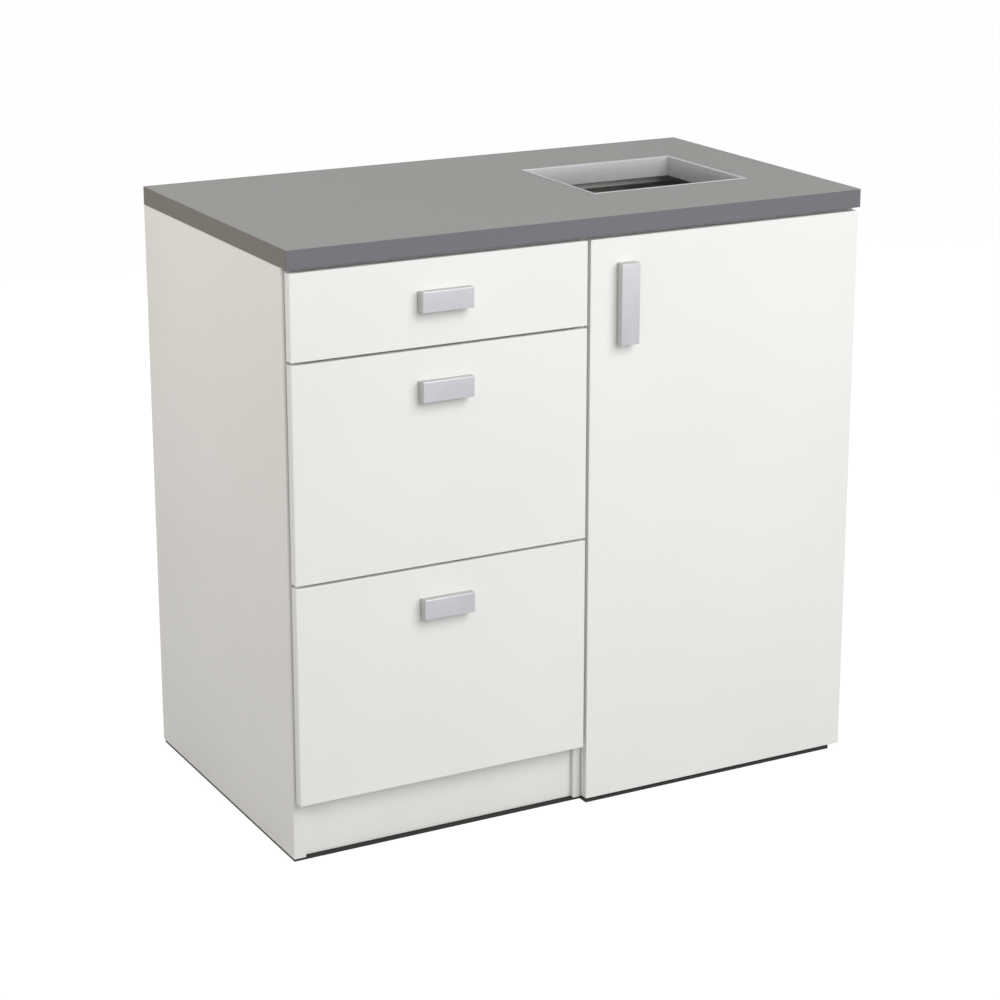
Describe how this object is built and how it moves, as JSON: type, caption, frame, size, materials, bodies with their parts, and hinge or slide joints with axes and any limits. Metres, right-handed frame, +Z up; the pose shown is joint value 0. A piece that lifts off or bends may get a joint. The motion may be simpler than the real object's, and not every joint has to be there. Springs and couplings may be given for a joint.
{
  "type": "recycling bin cabinet",
  "caption": "Free-standing cabinet for sorted waste: drawers with bins on one side, a door over a waste bin on the other, and a throw-in opening in the worktop.",
  "frame": {"origin": "on the floor, below the centre of the overall box", "axes": "+X to the right along the width seen from the front, +Y to the back, +Z up"},
  "size_m": [0.94, 0.548, 0.901],
  "materials": {
    "carcass_board": "satin white melamine on chipboard",
    "front_board": "satin white melamine on chipboard",
    "back_board": "white lacquered fibreboard",
    "worktop_laminate": "matt grey laminate on chipboard",
    "collar_metal": "brushed",
    "base_strip": "matt black",
    "dowel_wood": "plain beech",
    "screw_steel": "zinc plated",
    "buffer_rubber": "clear soft plastic",
    "hinge_steel": "nickel plated",
    "handle_metal": "satin anodised",
    "runner_steel": "zinc plated",
    "bin_plastic": "moulded, fine grain",
    "drawer_board": "satin light melamine on chipboard"
  },
  "bodies": {
    "root": {"side_panel_left": "carcass_board", "side_panel_right": "carcass_board", "partition": "carcass_board", "drawer_bay_bottom": "carcass_board", "bin_bay_bottom": "carcass_board", "back_panel": "back_board", "top_rails_front": "carcass_board", "top_rails_rear": "carcass_board", "plinth": "carcass_board", "base_strips": "base_strip", "worktop": "worktop_laminate", "throw_in_collar": "collar_metal", "cam_fittings": "screw_steel", "dowels": "dowel_wood", "carcass_screws": "screw_steel", "buffers": "buffer_rubber", "waste_bin": "bin_plastic", "hinge_plates": "hinge_steel", "hinge_arms": "hinge_steel", "hinge_screws": "screw_steel", "top_cabinet_rails": "runner_steel", "middle_cabinet_rails": "runner_steel", "bottom_cabinet_rails": "runner_steel"},
    "door": {"door_panel": "front_board", "door_handle": "handle_metal", "door_screws": "screw_steel", "hinge_cups": "hinge_steel"},
    "hinge_links": {"hinge_links": "hinge_steel"},
    "top_drawer": {"top_drawer_front": "front_board", "top_drawer_handle": "handle_metal", "top_drawer_screws": "screw_steel", "top_drawer_side_left": "drawer_board", "top_drawer_side_right": "drawer_board", "top_drawer_back": "drawer_board", "top_drawer_bottom": "drawer_board", "top_drawer_rails": "runner_steel"},
    "top_runners": {"top_middle_rails": "runner_steel"},
    "middle_drawer": {"middle_drawer_front": "front_board", "middle_drawer_handle": "handle_metal", "middle_drawer_screws": "screw_steel", "middle_drawer_side_left": "drawer_board", "middle_drawer_side_right": "drawer_board", "middle_drawer_back": "drawer_board", "middle_drawer_bottom": "drawer_board", "middle_drawer_rails": "runner_steel", "middle_bin_front": "bin_plastic", "middle_bin_rear": "bin_plastic"},
    "middle_runners": {"middle_middle_rails": "runner_steel"},
    "bottom_drawer": {"bottom_drawer_front": "front_board", "bottom_drawer_handle": "handle_metal", "bottom_drawer_screws": "screw_steel", "bottom_drawer_side_left": "drawer_board", "bottom_drawer_side_right": "drawer_board", "bottom_drawer_back": "drawer_board", "bottom_drawer_bottom": "drawer_board", "bottom_drawer_rails": "runner_steel", "bottom_bin_front": "bin_plastic", "bottom_bin_rear": "bin_plastic"},
    "bottom_runners": {"bottom_middle_rails": "runner_steel"}
  },
  "joints": [
    {"name": "door_hinge", "type": "hinge", "parent": "root", "child": "door", "pos_m": [0.461, -0.251, 0.4375], "axis": [0, 0, 1], "range_deg": [0, 95]},
    {"name": "hinge_link_turn", "type": "hinge", "parent": "root", "child": "hinge_links", "pos_m": [0.445, -0.238, 0.4375], "axis": [0, 0, 1], "range_deg": [0, 76]},
    {"name": "top_drawer_slide", "type": "slide", "parent": "root", "child": "top_drawer", "axis": [0, -1, 0], "range_m": [0, 0.45]},
    {"name": "top_runner_slide", "type": "slide", "parent": "root", "child": "top_runners", "axis": [0, -1, 0], "range_m": [0, 0.225]},
    {"name": "middle_drawer_slide", "type": "slide", "parent": "root", "child": "middle_drawer", "axis": [0, -1, 0], "range_m": [0, 0.45]},
    {"name": "middle_runner_slide", "type": "slide", "parent": "root", "child": "middle_runners", "axis": [0, -1, 0], "range_m": [0, 0.225]},
    {"name": "bottom_drawer_slide", "type": "slide", "parent": "root", "child": "bottom_drawer", "axis": [0, -1, 0], "range_m": [0, 0.45]},
    {"name": "bottom_runner_slide", "type": "slide", "parent": "root", "child": "bottom_runners", "axis": [0, -1, 0], "range_m": [0, 0.225]}
  ],
  "couplings": [
    {"joint": "hinge_link_turn", "follows": "door_hinge", "ratio": 0.8},
    {"joint": "top_runner_slide", "follows": "top_drawer_slide", "ratio": 0.5},
    {"joint": "middle_runner_slide", "follows": "middle_drawer_slide", "ratio": 0.5},
    {"joint": "bottom_runner_slide", "follows": "bottom_drawer_slide", "ratio": 0.5}
  ]
}
